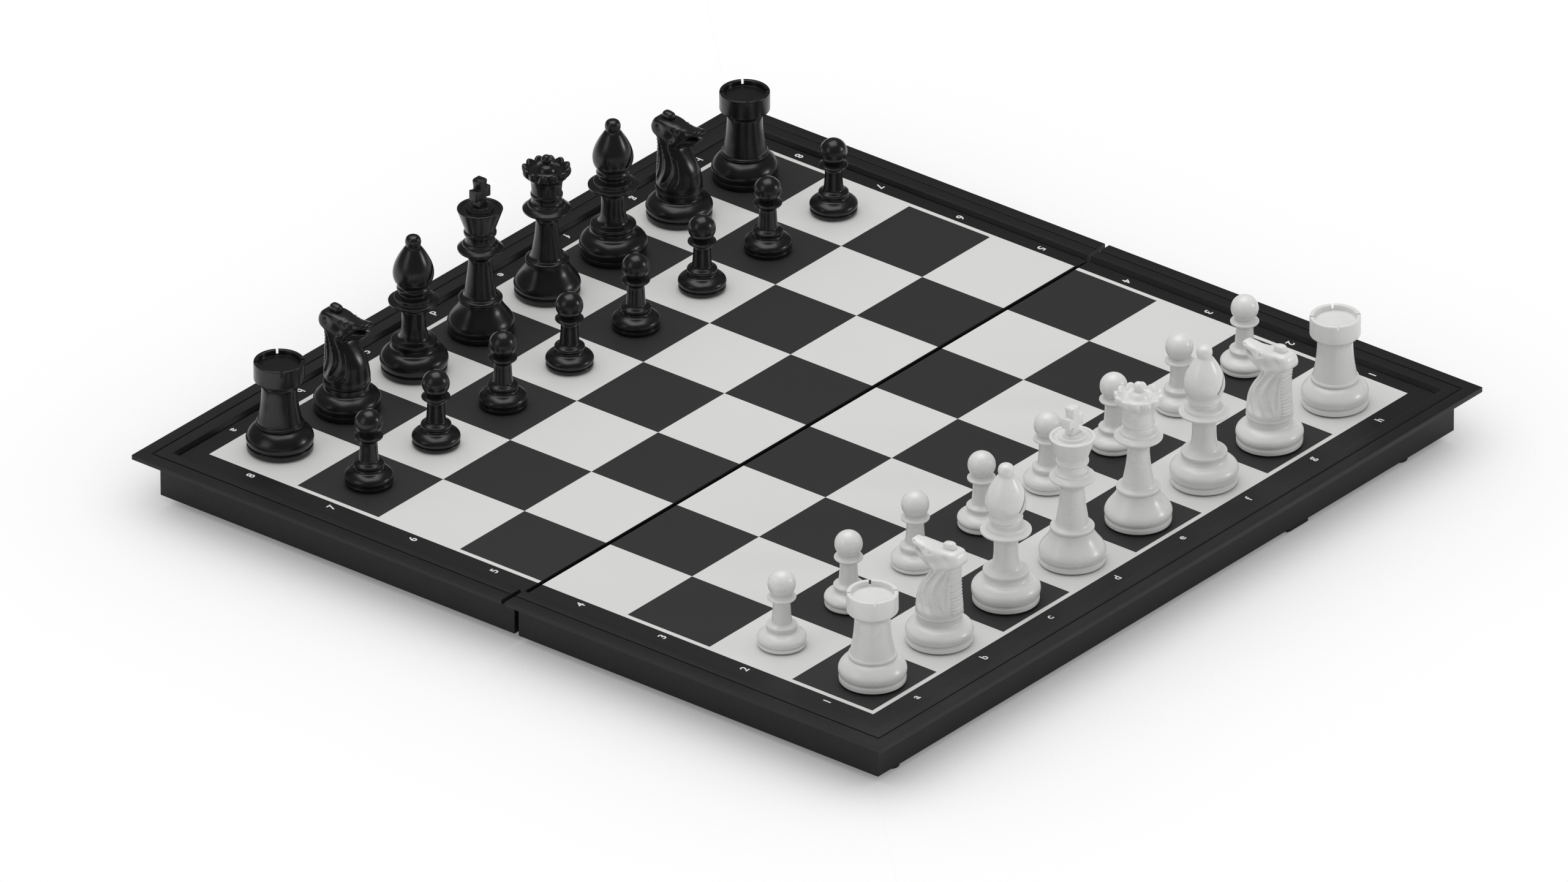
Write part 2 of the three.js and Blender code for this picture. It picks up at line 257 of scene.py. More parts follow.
def makeToneDrift():
    # Slight cloudiness in a base colour, with sparse fine specks.
    number = "NodeSocketFloat"
    group, start, end = newGroup(
        "toneDrift",
        [("Color", "NodeSocketColor", (0.5, 0.5, 0.5, 1)), ("Cloud Scale", number, 40),
         ("Cloud Amount", number, 0.1), ("Speck Amount", number, 0.02)],
        [("Color", "NodeSocketColor")],
    )
    coords = group.nodes.new("ShaderNodeTexCoord").outputs["Object"]
    cloud = mathNode(group, "SUBTRACT", noiseNode(group, coords, start.outputs["Cloud Scale"], 4.0), 0.5)
    cloud = mathNode(group, "MULTIPLY", cloud, start.outputs["Cloud Amount"])
    fine = noiseNode(group, coords, mould["speckScale"], 1.0)
    speck = mathNode(group, "GREATER_THAN", fine, mould["speckLevel"])
    speck = mathNode(group, "MULTIPLY", speck, start.outputs["Speck Amount"])
    gain = mathNode(group, "ADD", mathNode(group, "ADD", cloud, 1.0), speck)
    scale = group.nodes.new("ShaderNodeVectorMath")
    scale.operation = "SCALE"
    group.links.new(start.outputs["Color"], scale.inputs[0])
    group.links.new(gain, scale.inputs["Scale"])
    group.links.new(scale.outputs["Vector"], end.inputs["Color"])
    return group


mouldedSkin = makeMouldedSkin()
toneDrift = makeToneDrift()


def makeMaterial(name, tone, skin, metallic=0.0, cloud=(40, 0.1, 0.02), extra=None):
    material = bpy.data.materials.new(name)
    material.use_nodes = True
    tree = material.node_tree
    shader = tree.nodes["Principled BSDF"]
    shader.inputs["Metallic"].default_value = metallic
    for socket, value in (extra or {}).items():
        shader.inputs[socket].default_value = value
    colour = tree.nodes.new("ShaderNodeGroup")
    colour.node_tree = toneDrift
    colour.inputs["Color"].default_value = (*tone, 1)
    for socket, value in zip(("Cloud Scale", "Cloud Amount", "Speck Amount"), cloud):
        colour.inputs[socket].default_value = value
    tree.links.new(colour.outputs["Color"], shader.inputs["Base Color"])
    surface = tree.nodes.new("ShaderNodeGroup")
    surface.node_tree = mouldedSkin
    for socket, value in skin.items():
        surface.inputs[socket].default_value = value
    tree.links.new(surface.outputs["Normal"], shader.inputs["Normal"])
    tree.links.new(surface.outputs["Roughness"], shader.inputs["Roughness"])
    material.diffuse_color = (*tone, 1)
    return material


matt = {"Specular IOR Level": 0.35}


def skin(grainScale, grainHeight, waveScale, waveHeight, roughness, drift):
    names = ("Grain Scale", "Grain Height", "Wave Scale", "Wave Height", "Roughness", "Roughness Drift")
    return dict(zip(names, (grainScale, grainHeight, waveScale, waveHeight, roughness, drift)))


finish = {
    "frame": makeMaterial("framePlastic", (0.0085, 0.0085, 0.0088), skin(2600, 0.35, 30, 0.3, 0.5, 0.1),
                          extra=matt),
    "darkSquare": makeMaterial("darkSquarePrint", (0.0225, 0.0225, 0.0225),
                               skin(3500, 0.12, 25, 0.2, 0.55, 0.06), extra=matt),
    "lightSquare": makeMaterial("lightSquarePrint", (0.63, 0.63, 0.62), skin(3500, 0.1, 25, 0.2, 0.5, 0.05),
                                cloud=(30, 0.03, 0), extra=matt),
    "band": makeMaterial("labelBandPrint", (0.0085, 0.0085, 0.0088), skin(3500, 0.12, 25, 0.2, 0.5, 0.06),
                         extra=matt),
    "print": makeMaterial("labelPrint", (0.7, 0.7, 0.69), skin(3500, 0.08, 25, 0.1, 0.5, 0.05),
                          cloud=(200, 0.05, 0)),
    "panelEdge": makeMaterial("sheetSteelEdge", (0.3, 0.3, 0.3), skin(4000, 0.2, 100, 0.3, 0.4, 0.15),
                              metallic=1.0),
    "white": makeMaterial("whitePieces", (0.71, 0.71, 0.7), skin(1800, 0.06, 140, 0.6, 0.27, 0.08),
                          cloud=(60, 0.04, 0), extra={"Specular IOR Level": 0.6}),
    "black": makeMaterial("blackPieces", (0.0075, 0.0075, 0.008), skin(1800, 0.05, 170, 1.1, 0.27, 0.12)),
    "felt": makeMaterial("feltPads", (0.02, 0.021, 0.021), skin(4200, 2.5, 300, 0.5, 0.95, 0.05),
                         cloud=(700, 0.5, 0.2), extra={"Sheen Weight": 0.4, "Sheen Roughness": 0.5}),
    "rubber": makeMaterial("rubberFeet", (0.012, 0.012, 0.012), skin(3000, 0.5, 60, 0.3, 0.75, 0.1)),
    "steel": makeMaterial("hingeSteel", (0.5, 0.5, 0.5), skin(5000, 0.25, 200, 0.2, 0.32, 0.15),
                          metallic=1.0),
    "magnet": makeMaterial("magnetDisc", (0.09, 0.09, 0.1), skin(2500, 0.6, 90, 0.2, 0.6, 0.15),
                           metallic=0.6),
}
print("finishes made:", len(finish))


halfBox = {
    "edgeRound": 0.3,
    "hookRound": 0.2,
    "fineShare": 0.45,          # the groove's edges are rounded by this share of the rest
    "roundSteps": 3,
    "roundProfile": 0.6,
    "weldReach": 2e-6,
    "flatWithin": 1.0,          # degrees
    "sharpFrom": 25,            # degrees between faces
    "sharpAngle": 30,
    "grooveOut": (14, 15.1),    # the groove's edges lie this far outside the squares
    "grooveAbove": 1,
    "longEdge": 20,
    "shortEdge": 1.5,
    "cornerFrom": 145,
    "cornerWide": 4,
    "hookEdge": 8,
}


def softEdgedCopy(node, name, material, width, fine, fits):
    # The CAD solid with its flat faces made whole again and its long edges rounded.
    bm = bmesh.new()
    bm.from_mesh(nodes[node].data)
    bmesh.ops.remove_doubles(bm, verts=bm.verts, dist=halfBox["weldReach"])
    flat = math.radians(halfBox["flatWithin"])
    bmesh.ops.dissolve_limit(bm, angle_limit=flat, verts=bm.verts, edges=bm.edges)
    sharp = math.radians(halfBox["sharpFrom"])
    for offset, chosen in ((width, lambda e: fits(e) and not fine(e)), (width * halfBox["fineShare"], fine)):
        edges = [e for e in bm.edges if len(e.link_faces) == 2 and e.calc_face_angle(0) > sharp and chosen(e)]
        if edges:
            bmesh.ops.bevel(bm, geom=edges, offset=offset * mm, segments=halfBox["roundSteps"],
                            profile=halfBox["roundProfile"], affect="EDGES", clamp_overlap=True)
    obj = addObject(name, toMesh(bm, name, halfBox["sharpAngle"]), [material])
    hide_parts(node)
    return obj


def edgeReach(e):
    a, b = e.verts[0].co, e.verts[1].co
    return (a - b).length / mm


def inGroove(e):
    middle = (e.verts[0].co + e.verts[1].co) / 2
    outX = abs(middle.x) / mm - 4 * board["square"]
    outY = abs(middle.y) / mm - 4 * board["square"] - board["foldFace"]
    low, high = halfBox["grooveOut"]
    raised = middle.z / mm > board["surface"] + halfBox["grooveAbove"]
    return raised and low < max(outX, outY) < high and edgeReach(e) > halfBox["longEdge"]


def frameEdge(e):
    middle = (e.verts[0].co + e.verts[1].co) / 2
    x, y = abs(middle.x) / mm, abs(middle.y) / mm
    atCorner = min(x, y) > halfBox["cornerFrom"] and abs(x - y) < halfBox["cornerWide"]
    return edgeReach(e) > halfBox["longEdge"] or (atCorner and edgeReach(e) > halfBox["shortEdge"])


for side in ("white", "black"):
    shell = softEdgedCopy(f"shell_{side}_side", f"halfBox_{side}", finish["frame"],
                          halfBox["edgeRound"], inGroove, frameEdge)
    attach(shell, f"{side}_half")
    hook = softEdgedCopy(f"latch_hook_{side}_side", f"snapHook_{side}", finish["frame"],
                         halfBox["hookRound"], lambda e: False, lambda e: edgeReach(e) > halfBox["hookEdge"])
    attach(hook, f"{side}_hook")
print("half-boxes made")

foot = {
    "segments": 40,
    "profile": [(0, 0.05, 0), (1.2, 0.05, 0.4), (2.3, 0, 0.3), (3.0, 0.15, 0.35), (3.05, 1.2, 0.6),
                (2.95, 3.1, 0.2), (1.6, 3.1, 0.1), (1.6, 8.0, 0.2), (0, 8.0)],
}
footBm = bmesh.new()
turn(footBm, roundProfile(foot["profile"]), foot["segments"])
footMesh = toMesh(footBm, "foot")
for side in ("white", "black"):
    for label in ("left", "right"):
        node = f"foot_{side}_{label}"
        low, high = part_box(node)
        place = Matrix.Translation(((low.x + high.x) / 2, (low.y + high.y) / 2, low.z))
        peg = addObject(f"stubFoot_{side}_{label}", scaledCopy(footMesh, node), [finish["rubber"]], place)
        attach(peg, f"{side}_half")
        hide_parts(node)


def panelLines(side):
    square, face, line = board["square"], board["foldFace"], board["borderLine"]
    edge, margin = 4 * square, board["recessMargin"]
    slide = board["sheetSlide"] * (1 if side == "white" else -1)
    near = board["sheetNear"][side]
    xs = [-edge - margin, slide - edge - line, slide - edge]
    xs += [square * k - edge for k in range(1, 8)]
    xs += [slide + edge, slide + edge + line, edge + margin]
    ys = [-face - square * k for k in range(4)]
    ys += [near - face - edge, near - face - edge - line, -face - edge - margin]
    return xs, ys


def printedPanel(side):
    # Made as the white side; half a turn gives the black side.
    darkIndex, lightIndex, bandIndex, steelIndex = range(4)
    xs, ys = panelLines(side)
    top, bottom = board["surface"], board["surface"] - board["panelThick"]
    bm = bmesh.new()
    sheets = [[[bm.verts.new((x, y, z)) for y in ys] for x in xs] for z in (top, bottom)]
    for i in range(len(xs) - 1):
        for j in range(len(ys) - 1):
            inField = 2 <= i <= 9 and j <= 3
            inBorder = 1 <= i <= 10 and j <= 4
            kind = bandIndex
            if inField:
                kind = darkIndex if ((i - 2) + (3 - j)) % 2 == 0 else lightIndex
            elif inBorder:
                kind = lightIndex
            for grid in sheets:
                face = bm.faces.new((grid[i][j], grid[i + 1][j], grid[i + 1][j + 1], grid[i][j + 1]))
                face.material_index = kind if grid is sheets[0] else steelIndex
    lastX, lastY = len(xs) - 1, len(ys) - 1
    rim = [(i, 0) for i in range(lastX + 1)] + [(lastX, j) for j in range(1, lastY + 1)]
    rim += [(i, lastY) for i in range(lastX - 1, -1, -1)] + [(0, j) for j in range(lastY - 1, 0, -1)]
    for a, b in zip(rim, rim[1:] + rim[:1]):
        upper, lower = sheets
        face = bm.faces.new((upper[a[0]][a[1]], upper[b[0]][b[1]], lower[b[0]][b[1]], lower[a[0]][a[1]]))
        face.material_index = steelIndex
    bmesh.ops.recalc_face_normals(bm, faces=bm.faces)
    mesh = bpy.data.meshes.new(f"printedPanel_{side}")
    bm.to_mesh(mesh)
    bm.free()
    spin = Matrix.Rotation(0 if side == "white" else math.pi, 4, "Z")
    mesh.transform(Matrix.Scale(mm, 4) @ spin)
    kinds = [finish["darkSquare"], finish["lightSquare"], finish["band"], finish["panelEdge"]]
    return addObject(f"printedPanel_{side}", mesh, kinds)


def glyphMesh(text):
    curve = bpy.data.curves.new("glyph", "FONT")
    curve.body = text
    curve.size = board["labelSize"]
    curve.align_x = "CENTER"
    curve.align_y = "CENTER"
    curve.extrude = board["printThick"] / 2
    curve.offset = board["labelWeight"]
    obj = bpy.data.objects.new("glyph", curve)
    scene.collection.objects.link(obj)
    depsgraph = bpy.context.evaluated_depsgraph_get()
    mesh = bpy.data.meshes.new_from_object(obj.evaluated_get(depsgraph))
    bpy.data.objects.remove(obj)
    middle = sum((Vector(c.co) for c in mesh.vertices), Vector()) / len(mesh.vertices)
    lows = [min(v.co[k] for v in mesh.vertices) for k in range(2)]
    highs = [max(v.co[k] for v in mesh.vertices) for k in range(2)]
    shift = Vector((-(lows[0] + highs[0]) / 2, -(lows[1] + highs[1]) / 2, -middle.z))
    mesh.transform(Matrix.Translation(shift))
    return mesh


def panelLabels(side):
    square, face = board["square"], board["foldFace"]
    sign = -1 if side == "white" else 1
    z = board["surface"] + board["printThick"] / 2 + board["printGap"]
    edge = 4 * square
    ranks = range(4) if side == "white" else range(4, 8)
    spots = []
    for rank in ranks:
        y = (rank - 3.5) * square + sign * face - board["numberDrop"]
        spots.append((str(rank + 1), -edge - board["numberOut"]["a"], y, 0))
        spots.append((str(rank + 1), edge + board["numberOut"]["h"], y, math.pi))
    for file in range(8):
        x = (file - 3.5) * square
        y = sign * (face + edge + board["letterOut"][side])
        spots.append(("abcdefgh"[file], x, y, 0 if side == "white" else math.pi))
    bm = bmesh.new()
    for text, x, y, spin in spots:
        mesh = glyphMesh(text)
        mesh.transform(Matrix.Translation((x, y, z)) @ Matrix.Rotation(spin, 4, "Z"))
        bm.from_mesh(mesh)
        bpy.data.meshes.remove(mesh)
    bmesh.ops.remove_doubles(bm, verts=bm.verts, dist=1e-4)
    mesh = bpy.data.meshes.new(f"boardLabels_{side}")
    bm.to_mesh(mesh)
    bm.free()
    mesh.transform(Matrix.Scale(mm, 4))
    return addObject(f"boardLabels_{side}", mesh, [finish["print"]])


for side in ("white", "black"):
    panel = printedPanel(side)
    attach(panel, f"{side}_half")
    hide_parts(f"play_panel_{side}_side")
    labels = panelLabels(side)
    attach(labels, f"{side}_half")
print("panels and labels made")


# Chess pieces: heights are above the board, felt pad included.
pad = {"thick": 0.5, "officer": 10.3, "pawn": 7.1, "lift": 0.02, "gap": 0.01, "edge": 0.2, "segments": 64}
socket = {"officer": 4.6, "pawn": 3.6, "depth": 3.9}


def underside(kind):
    r, deep = socket[kind], socket["depth"]
    return [(0, deep), (r, deep), (r, pad["thick"])]


def addPad(bm, kind):
    r = pad[kind]
    low, top, edge = pad["lift"], pad["thick"] - pad["gap"], pad["edge"]
    profile = [(0, low), (r - edge, low, edge / 2), (r, edge, edge / 2), (r, top), (0, top)]
    turn(bm, roundProfile(profile, 3), pad["segments"], materialIndex=1)


plinth = [(10.9, 0.5, 0.15), (11.2, 0.75, 0.2), (11.2, 2.3, 0.3), (10.55, 2.6, 0.12), (10.55, 2.85, 0.12)]
lowBulge = [(11.2, 3.15, 0.4), (11.5, 4.3, 1.3), (11.15, 5.8, 1.7), (9.3, 7.4, 2.0), (8.0, 7.9, 0.8)]
tallBell = [(11.2, 3.15, 0.4), (11.45, 4.4, 1.3), (10.9, 6.0, 1.7), (9.25, 8.1, 2.0), (7.9, 10.0, 1.8),
            (6.95, 12.3, 0.8)]

pawnShape = {
    "segments": 64,
    "profile": [(7.8, 0.5, 0.15), (8.05, 0.7, 0.2), (8.05, 1.6, 0.25), (7.5, 1.85, 0.1), (7.5, 2.05, 0.1),
                (8.05, 2.3, 0.3), (8.3, 3.1, 0.9), (7.95, 4.2, 1.3), (6.4, 5.3, 1.5), (5.0, 5.8, 0.8),
                (4.75, 6.7, 0.4), (5.1, 7.15, 0.2), (5.15, 8.0, 0.35), (4.1, 8.5, 0.25), (3.4, 8.9, 0.4),
                (3.1, 12.0, 3), (2.9, 15.8, 1.2), (3.2, 16.8, 0.6), (4.8, 17.7, 0.25), (4.9, 18.3, 0.25),
                (3.7, 18.85, 0.3), (2.95, 19.2, 0.15)],
    "ball": (23.0, 4.7, 37.5),
}
rookShape = {
    "segments": 96,
    "bulge": [(11.2, 3.15, 0.4), (11.5, 4.5, 1.3), (11.2, 6.1, 1.7), (9.5, 8.2, 2.0), (7.8, 9.2, 0.6)],
    "profile": [(7.5, 9.45, 0.15), (8.1, 9.7, 0.2), (8.1, 10.4, 0.3), (7.6, 10.75, 0.2), (7.3, 11.8, 1.4),
                (6.35, 17.0, 5), (5.95, 23.2, 2), (6.15, 24.6, 0.8), (8.1, 26.1, 0.6), (8.6, 26.6, 0.3),
                (8.6, 33.0, 0.25), (8.35, 33.3, 0.2), (7.35, 33.3, 0.2), (7.1, 33.0, 0.15), (7.1, 31.3, 0.25),
                (0, 31.2)],
    "slitWidth": 0.85,
    "slitAngles": (45, 135),
    "cutter": (20, 5),          # length, height
    "slitFloor": 31.3,
}
bishopShape = {
    "segments": 80,
    "bulge": [(11.3, 3.15, 0.4), (11.65, 4.9, 1.5), (11.3, 6.6, 1.7), (9.5, 8.3, 2.0), (8.0, 8.8, 0.8)],
    "profile": [(7.35, 9.9, 0.8), (7.4, 10.8, 0.4), (7.75, 11.2, 0.2), (7.75, 12.1, 0.35), (6.5, 12.45, 0.3),
                (5.3, 12.8, 0.5), (4.7, 13.9, 1.2), (4.1, 17.0, 3), (4.05, 22.6, 2), (4.5, 24.1, 1.0),
                (6.4, 25.4, 1.5), (8.5, 26.2, 0.2), (8.6, 27.0, 0.25), (7.0, 27.4, 0.15), (6.65, 27.5, 0.1),
                (6.6, 28.6, 0.25), (5.2, 29.0, 0.2), (4.65, 29.3, 0.2), (4.65, 30.3, 0.3), (5.5, 30.8, 0.3),
                (5.8, 31.7, 0.5), (5.2, 32.7, 0.5), (5.5, 33.3, 0.4), (6.6, 34.7, 1.5), (7.05, 37.2, 2.5),
                (6.55, 40.2, 3), (5.0, 43.6, 3), (3.0, 46.7, 0.8), (2.25, 47.3, 0.3), (2.6, 47.9, 0.4),
                (2.75, 49.2, 1.0), (2.3, 50.6, 1.0), (1.1, 51.25, 0.7), (0, 51.3)],
    "slitWidth": 0.75,
    "slitSlope": 55,
    "slitTurn": -22,
    "slitStart": (1.4, 0, 35.4),
    "cutter": (16, 20),         # length, width
}
ringUp = [(7.4, 12.6, 0.25), (7.45, 13.5, 0.35), (6.9, 13.85, 0.2), (5.95, 14.1, 0.3), (5.5, 14.8, 0.6)]
queenShape = {
    "segments": 168,
    "lobes": 12,
    "cup": (43.4, 1.8),         # height where the petals start, and the run to their full size
    "dome": (5.2, 1.6),         # radius where they start, and the same run
    "petalOut": (1.1, 0.75),
    "petalUp": (0.95, 0.65),
    "petalPower": 0.9,
    "sharpAngle": 32,
    "profile": [(5.05, 16.8, 2), (4.15, 21.5, 4), (3.65, 27.2, 3), (3.95, 28.8, 1.0), (5.8, 30.4, 1.5),
                (8.15, 31.8, 0.25), (8.25, 32.5, 0.25), (7.0, 33.4, 0.4), (6.35, 33.7, 0.2),
                (6.3, 34.4, 0.25),
                (5.3, 34.9, 0.3), (4.9, 35.8, 0.4), (4.9, 36.8, 0.3), (5.45, 37.2, 0.25), (5.5, 38.1, 0.3),
                (5.05, 38.6, 0.2), (5.1, 39.4, 0.6), (5.3, 42.0, 2), (5.8, 43.6, 1.0), (6.9, 44.6, 0.5),
                (7.8, 45.5, 0.5), (8.1, 46.6, 0.5), (7.95, 47.9, 0.4), (7.0, 48.1, 0.4), (5.9, 46.8, 0.5),
                (4.7, 46.3, 0.4), (3.6, 46.9, 0.6), (2.9, 48.3, 0.7), (1.7, 49.0, 0.3), (1.35, 49.4, 0.2),
                (1.75, 50.0, 0.5), (1.85, 51.0, 0.8), (1.1, 52.2, 0.7), (0, 52.45)],
}
kingShape = {
    "segments": 80,
    "profile": [(5.15, 17.5, 2), (4.45, 22.0, 4), (4.0, 27.4, 3), (4.2, 28.6, 1.0), (5.6, 30.0, 1.5),
                (7.65, 31.3, 0.25), (7.8, 32.1, 0.25), (6.6, 33.0, 0.4), (6.0, 33.3, 0.2), (6.0, 33.95, 0.25),
                (5.1, 34.4, 0.3), (4.85, 35.3, 0.4), (4.85, 36.9, 0.3), (5.5, 37.3, 0.25), (5.6, 38.3, 0.3),
                (5.1, 38.8, 0.2), (5.3, 39.6, 0.6), (7.65, 46.3, 0.3), (7.8, 46.75, 0.15), (7.5, 47.1, 0.2),
                (6.7, 47.1, 0.2), (6.1, 46.5, 0.2), (4.75, 46.45, 0.1), (4.65, 47.3, 0.15), (3.5, 47.35, 0.1),
                (3.4, 48.1, 0.2), (0, 48.15)],
    "cross": [(2.1, 47.9), (1.5, 50.2), (1.5, 51.0), (3.75, 50.6), (3.75, 54.8), (1.6, 54.3), (1.6, 55.4),
              (2.05, 57.5), (1.4, 58.2)],
    "crossThick": 3.5,
    "crossBevel": 0.45,
}


def pawnMesh():
    bm = bmesh.new()
    profile = roundProfile(underside("pawn") + pawnShape["profile"])
    turn(bm, profile + ballArc(*pawnShape["ball"]), pawnShape["segments"])
    addPad(bm, "pawn")
    return toMesh(bm, "pawn")


def rookMesh():
    bm = bmesh.new()
    profile = roundProfile(underside("officer") + plinth + rookShape["bulge"] + rookShape["profile"])
    turn(bm, profile, rookShape["segments"])
    cutters = []
    length, height = rookShape["cutter"]
    middle = Matrix.Translation((0, 0, rookShape["slitFloor"] + height / 2))
    for angle in rookShape["slitAngles"]:
        spin = Matrix.Rotation(math.radians(angle), 4, "Z")
        cutters.append(slabMesh((length, rookShape["slitWidth"], height), middle @ spin))
    body = cutWith(toMesh(bm, "rookBody"), cutters, "rook")
    bm = bmesh.new()
    bm.from_mesh(body)
    addPad(bm, "officer")
    return toMesh(bm, "rook")


def bishopMesh():
    bm = bmesh.new()
    profile = roundProfile(underside("officer") + plinth + bishopShape["bulge"] + bishopShape["profile"])
    turn(bm, profile, bishopShape["segments"])
    spin = Matrix.Rotation(math.radians(bishopShape["slitTurn"]), 4, "Z")
    slope = Matrix.Rotation(-math.radians(bishopShape["slitSlope"]), 4, "Y")
    length, width = bishopShape["cutter"]
    start = Matrix.Translation(bishopShape["slitStart"])
    place = spin @ start @ slope @ Matrix.Translation((length / 2, 0, 0))
    cutter = slabMesh((length, width, bishopShape["slitWidth"]), place)
    body = cutWith(toMesh(bm, "bishopBody"), [cutter], "bishop")
    bm = bmesh.new()
    bm.from_mesh(body)
    addPad(bm, "officer")
    return toMesh(bm, "bishop")


def queenMesh():
    lobes = queenShape["lobes"]
    cup, cupRun = queenShape["cup"]
    dome, domeRun = queenShape["dome"]
    out, outBack = queenShape["petalOut"]
    up, upBack = queenShape["petalUp"]

    def crown(angle, r, z):
        # Full rise above the cup and outside the dome, in petals that go out and up.
        rise = min(max((z - cup) / cupRun, 0), 1) * min(max((r - dome) / domeRun, 0), 1)
        petal = abs(math.cos(lobes * angle / 2)) ** queenShape["petalPower"]
        return r + rise * (out * petal - outBack), z + rise * (up * petal - upBack)

    bm = bmesh.new()
    profile = roundProfile(underside("officer") + plinth + tallBell + ringUp + queenShape["profile"])
    turn(bm, profile, queenShape["segments"], crown)
    addPad(bm, "officer")
    return toMesh(bm, "queen", queenShape["sharpAngle"])


def kingMesh():
    bm = bmesh.new()
    profile = roundProfile(underside("officer") + plinth + tallBell + ringUp + kingShape["profile"])
    turn(bm, profile, kingShape["segments"])
    rightSide = kingShape["cross"]
    outline = rightSide + [(-x, z) for x, z in reversed(rightSide)]
    thick = kingShape["crossThick"] / 2
    crossBm = bmesh.new()
    front = crossBm.faces.new([crossBm.verts.new((x, -thick, z)) for x, z in outline])
    moved = bmesh.ops.extrude_face_region(crossBm, geom=[front])["geom"]
    movedVerts = [v for v in moved if isinstance(v, bmesh.types.BMVert)]
    bmesh.ops.translate(crossBm, vec=(0, 2 * thick, 0), verts=movedVerts)
    bmesh.ops.recalc_face_normals(crossBm, faces=crossBm.faces)
    bmesh.ops.bevel(crossBm, geom=list(crossBm.edges), offset=kingShape["crossBevel"], segments=3,
                    profile=0.5, affect="EDGES", clamp_overlap=True)
    cross = bpy.data.meshes.new("cross")
    crossBm.to_mesh(cross)
    crossBm.free()
    bm.from_mesh(cross)
    addPad(bm, "officer")
    return toMesh(bm, "king")


# The horse: cross-sections from the collar up the neck and along the head to the nose.
# Each is front (forward, height), back (forward, height), half thickness, roundness.
horse = {
    "collar": [(7.5, 8.4, 0.4), (7.4, 10.3, 0.3), (7.95, 10.7, 0.25), (8.05, 11.5, 0.3), (7.5, 11.85, 0.2),
               (0, 11.9)],
    "sections": [
        ((7.9, 11.7), (-7.9, 11.7), 7.9, 2.0), ((8.0, 13.4), (-8.0, 13.5), 7.8, 2.0),
        ((7.8, 15.5), (-7.9, 16.0), 7.2, 2.1), ((7.3, 18.4), (-7.7, 19.2), 6.4, 2.2),
        ((5.8, 21.5), (-7.5, 22.6), 5.6, 2.4), ((3.8, 24.4), (-7.4, 26.0), 4.9, 2.5),
        ((2.2, 26.5), (-7.7, 29.0), 4.5, 2.8), ((2.0, 27.4), (-8.2, 30.3), 4.3, 3.4),
        ((2.3, 28.0), (-9.7, 31.4), 4.3, 4.0), ((3.0, 28.7), (-9.9, 33.5), 4.3, 4.0),
        ((3.8, 29.6), (-8.3, 35.8), 4.3, 4.0), ((4.6, 30.6), (-4.4, 36.1), 4.1, 3.8),
        ((5.5, 31.6), (-1.0, 35.7), 3.7, 3.4), ((6.5, 32.4), (2.0, 35.3), 3.2, 3.0),
        ((7.6, 33.0), (5.0, 35.2), 2.8, 2.8), ((9.0, 33.3), (8.0, 35.6), 2.6, 2.6),
        ((10.1, 33.9), (9.7, 35.8), 2.2, 2.3), ((10.6, 34.6), (10.5, 35.3), 1.4, 2.0),
    ],
    "jaw": [
        ((2.2, 27.2), (1.9, 31.6), 3.4, 2.4), ((4.2, 27.9), (3.8, 31.8), 3.0, 2.4),
        ((6.4, 28.9), (6.0, 32.0), 2.5, 2.3), ((8.2, 30.2), (7.8, 32.1), 2.1, 2.2),
        ((9.6, 31.4), (9.2, 32.4), 1.5, 2.0),
    ],
    "segments": 80,
    "around": 120,
    "along": 16,
    "sharpAngle": 50,
    "mane": {
        "wide": 60,                 # degrees either side of the back
        "half": 2.7,
        "edge": (-0.1, 0.4),        # the strip fades out over this, measured from its half width
        "start": (12.4, 13.2),
        "end": (28.4, 30.0),
        "ridgePitch": 1.17,
        "ridgeHeight": 0.6,
    },
    "flutes": {
        "depth": 0.95,
        "start": (13.0, 15.5),
        "end": (26.5, 31.0),
        "front": (52, 64),          # degrees from the breast, where they fade in
        "back": (136, 146),         # and out
        "first": 62,
        "pitch": 27,
        "lean": 0.7,                # degrees round for each millimetre up
        "curl": 16,
        "curlRun": 15,
        "power": 1.4,
        "edgeShare": 0.4,
    },
    "sinkShare": 0.6,               # no dent goes deeper than this share of the half thickness
    "reliefFrom": 0.8,
    "reliefReach": 2.2,
    "reliefFall": 1.4,
    # forward, height, radius, rise of each small relief on both cheeks
    "relief": [(1.4, 34.4, 1.5, -0.7), (1.4, 34.4, 0.75, 0.9), (-0.6, 30.8, 2.4, 0.6), (9.0, 35.0, 0.6, -0.6),
               (4.6, 33.6, 1.6, -0.4), (-5.6, 33.4, 1.8, -0.6)],
    "ear": {"centre": (0.0, -4.4, 36.8), "size": (1.6, 2.3, 1.6), "lean": -8, "squareness": 3.0},
}


def smoothRows(rows, steps):
    # Catmull-Rom through every row of numbers.
    rows = np.array(rows, float)
    padded = np.vstack([2 * rows[0] - rows[1], rows, 2 * rows[-1] - rows[-2]])
    out = []
    for i in range(1, len(padded) - 2):
        p0, p1, p2, p3 = padded[i - 1:i + 3]
        for k in range(steps):
            t = k / steps
            out.append(0.5 * (2 * p1 + (p2 - p0) * t + (2 * p0 - 5 * p1 + 4 * p2 - p3) * t * t
                              + (3 * p1 - p0 - 3 * p2 + p3) * t ** 3))
    out.append(rows[-1])
    return out


def smoothStep(value, low, high):
    t = min(max((value - low) / (high - low), 0), 1)
    return t * t * (3 - 2 * t)


